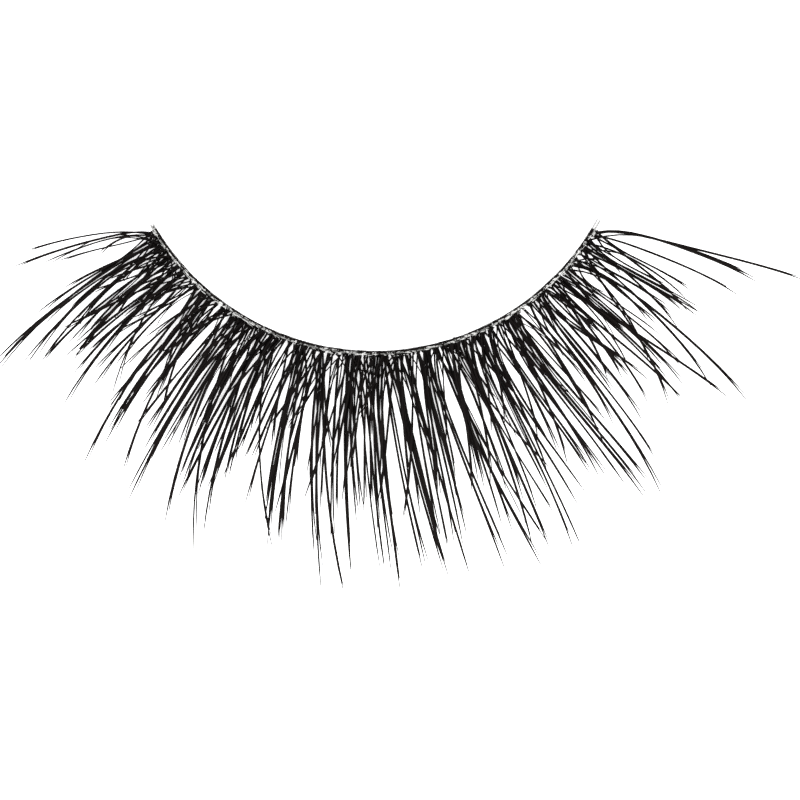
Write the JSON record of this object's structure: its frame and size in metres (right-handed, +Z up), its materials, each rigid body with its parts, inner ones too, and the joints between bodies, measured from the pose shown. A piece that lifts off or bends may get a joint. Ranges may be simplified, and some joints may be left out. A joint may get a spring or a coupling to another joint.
{
  "type": "false eyelash strip",
  "caption": "False eyelash strip lying on its band: a clear curved thread band with black hair lashes knotted along it, fanning out and curling up",
  "frame": {"origin": "Middle of the strip's bounding box in plan, on the plane it lies on. +Z is up, towards the lashes' tips.", "axes": "+X runs along the strip from its left end to its right end as seen from above with the band at the back. +Y points from the lashes' tips to the band, the side of the eyelid. +Z is up, the way the lashes curl."},
  "size_m": [0.05, 0.0228, 0.0051],
  "materials": {
    "lash_hair": "near-black hair fibre with a soft satin sheen",
    "clear_thread": "clear glossy thread with dried glue"
  },
  "bodies": {
    "root": {"lash_cluster_01": "lash_hair", "lash_cluster_02": "lash_hair", "lash_cluster_03": "lash_hair", "lash_cluster_04": "lash_hair", "lash_cluster_05": "lash_hair", "lash_cluster_06": "lash_hair", "lash_cluster_07": "lash_hair", "lash_cluster_08": "lash_hair", "lash_cluster_09": "lash_hair", "lash_cluster_10": "lash_hair", "lash_cluster_11": "lash_hair", "lash_cluster_12": "lash_hair", "lash_cluster_13": "lash_hair", "lash_cluster_14": "lash_hair", "lash_cluster_15": "lash_hair", "lash_cluster_16": "lash_hair", "lash_cluster_17": "lash_hair", "lash_cluster_18": "lash_hair", "lash_cluster_19": "lash_hair", "lash_cluster_20": "lash_hair", "lash_cluster_21": "lash_hair", "lash_cluster_22": "lash_hair", "lash_cluster_23": "lash_hair", "lash_cluster_24": "lash_hair", "lash_cluster_25": "lash_hair", "lash_cluster_26": "lash_hair", "lash_cluster_27": "lash_hair", "lash_cluster_28": "lash_hair", "lash_cluster_29": "lash_hair", "lash_cluster_30": "lash_hair", "lash_cluster_31": "lash_hair", "lash_cluster_32": "lash_hair", "lash_cluster_33": "lash_hair", "lash_cluster_34": "lash_hair", "band_thread_inner": "clear_thread", "band_thread_outer": "clear_thread"}
  },
  "joints": []
}
